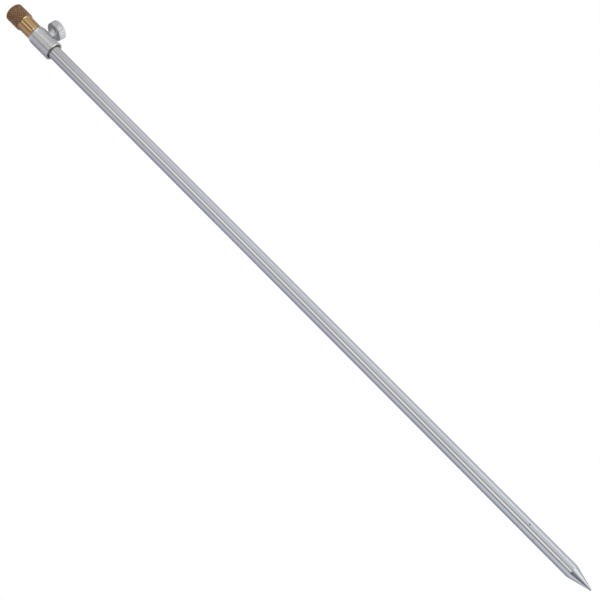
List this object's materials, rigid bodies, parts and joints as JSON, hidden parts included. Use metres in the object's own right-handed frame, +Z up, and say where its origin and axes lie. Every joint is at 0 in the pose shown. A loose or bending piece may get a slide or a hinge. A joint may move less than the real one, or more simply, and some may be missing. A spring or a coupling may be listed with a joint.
{
  "type": "bank stick",
  "caption": "Telescopic bank stick: tube with a ground spike, clamp collar with thumb screw, sliding inner tube and knurled brass head with a threaded socket.",
  "frame": {"origin": "tip of the ground spike, on the stick's axis", "axes": "+Z up along the stick, from the spike to the brass head; +X along the thumb screw, from the stick to the knurled head of the screw"},
  "size_m": [0.0295, 0.0174, 0.6865],
  "materials": {
    "polished_aluminium": "polished drawn tube",
    "turned_aluminium": "bright, with fine turning rings",
    "satin_aluminium": "satin turned",
    "knurled_aluminium": "diamond knurled",
    "brass": "knurled head, polished neck",
    "nylon": "natural nylon"
  },
  "bodies": {
    "lower": {"ground_spike": "turned_aluminium", "outer_tube": "polished_aluminium", "locking_collar": "satin_aluminium"},
    "plug": {"end_plug": "nylon"},
    "upper": {"inner_tube": "polished_aluminium", "thread_head": "brass"},
    "pad": {"clamp_pad": "nylon"},
    "screw": {"thumb_screw": "knurled_aluminium"}
  },
  "joints": [
    {"name": "draw_out", "type": "slide", "parent": "lower", "child": "plug", "axis": [0, 0, 1], "range_m": [0, 0.544]},
    {"name": "head_swivel", "type": "hinge", "parent": "plug", "child": "upper", "pos_m": [0, 0, 0.0996], "axis": [0, 0, 1], "continuous": true},
    {"name": "pad_travel", "type": "slide", "parent": "lower", "child": "pad", "axis": [1, 0, 0], "range_m": [0, 0.002]},
    {"name": "screw_turn", "type": "hinge", "parent": "pad", "child": "screw", "pos_m": [0.0134, 0, 0.6485], "axis": [1, 0, 0], "range_deg": [0, 720]}
  ],
  "couplings": [
    {"joint": "pad_travel", "follows": "screw_turn", "m_per_rad": 0.00015915}
  ]
}
